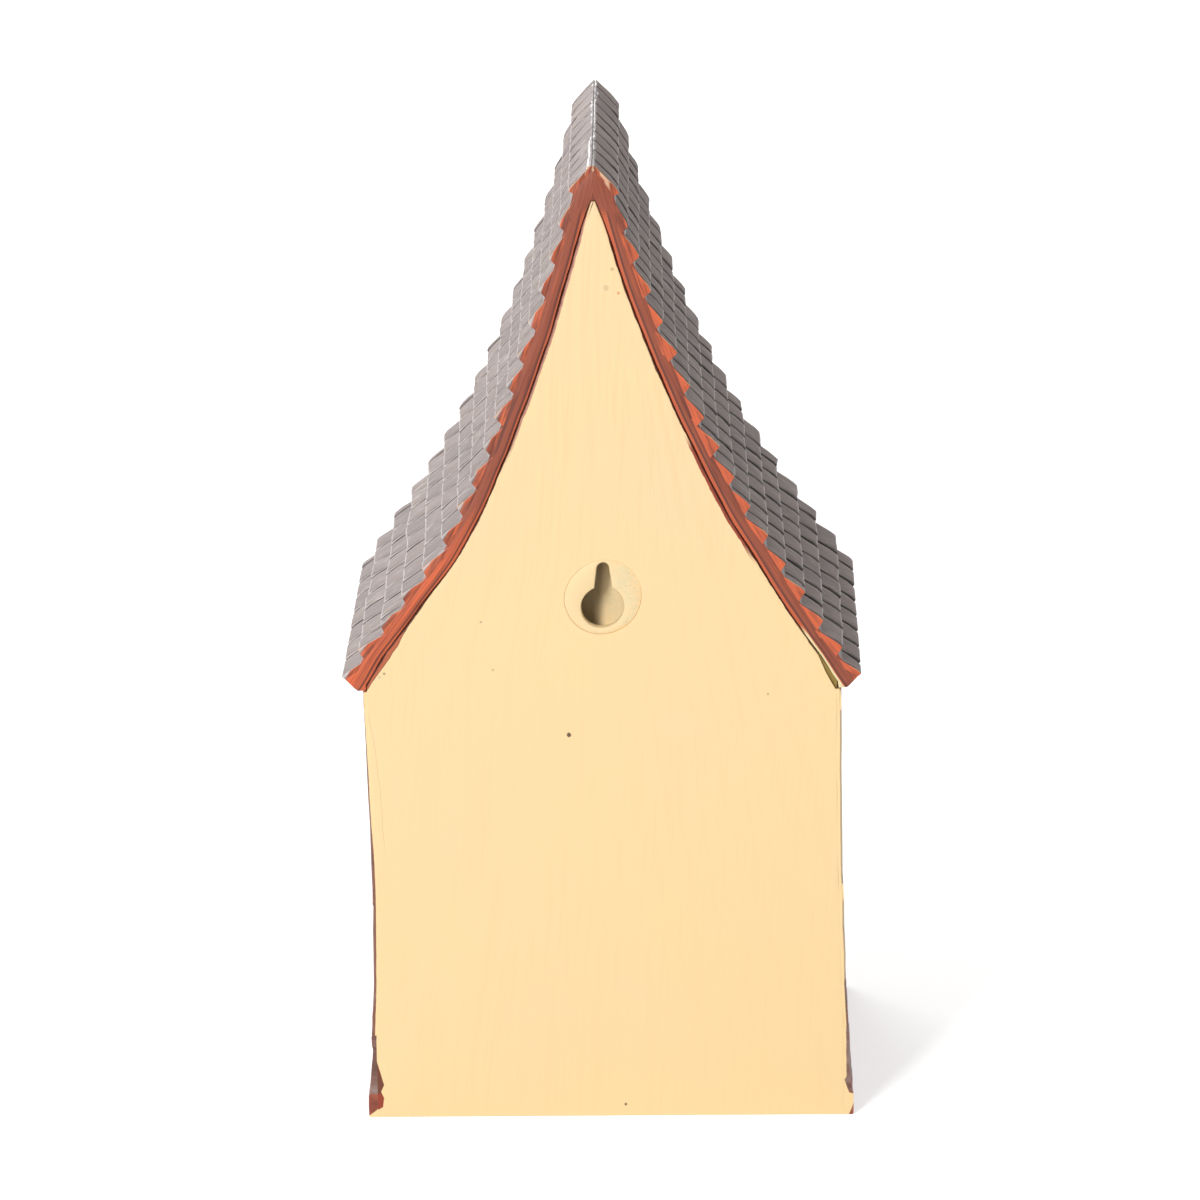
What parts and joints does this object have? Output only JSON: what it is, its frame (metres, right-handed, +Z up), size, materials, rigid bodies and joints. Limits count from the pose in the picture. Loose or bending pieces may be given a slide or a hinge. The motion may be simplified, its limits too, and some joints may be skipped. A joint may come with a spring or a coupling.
{
  "type": "birdhouse",
  "caption": "Half-timbered nest box with a steep bell-cast tiled roof, a round entrance, a screwed floor and a keyhole hanger in its flat back.",
  "frame": {"origin": "on the ground, under the middle of the roof's length and width", "axes": "+Y towards the flat back that hangs on the wall, -Y towards the front with the entrance hole, +Z up, +X to the right seen from the front"},
  "size_m": [0.158, 0.122, 0.3],
  "materials": {
    "painted_render": "cast polyester resin with matt acrylic paint, cream infill and red-brown frame",
    "painted_tiles": "cast polyester resin, tiles painted taupe grey and dry-brushed pale, bargeboards red-brown",
    "floor_resin": "cast polyester resin, dark brown, unpainted",
    "zinc_screws": "zinc-plated steel",
    "insert_resin": "cast resin cup, painted over in cream"
  },
  "bodies": {
    "root": {"body": "painted_render", "roof": "painted_tiles", "floor_plate": "floor_resin", "floor_screws": "zinc_screws", "hanger_insert": "insert_resin"}
  },
  "joints": []
}
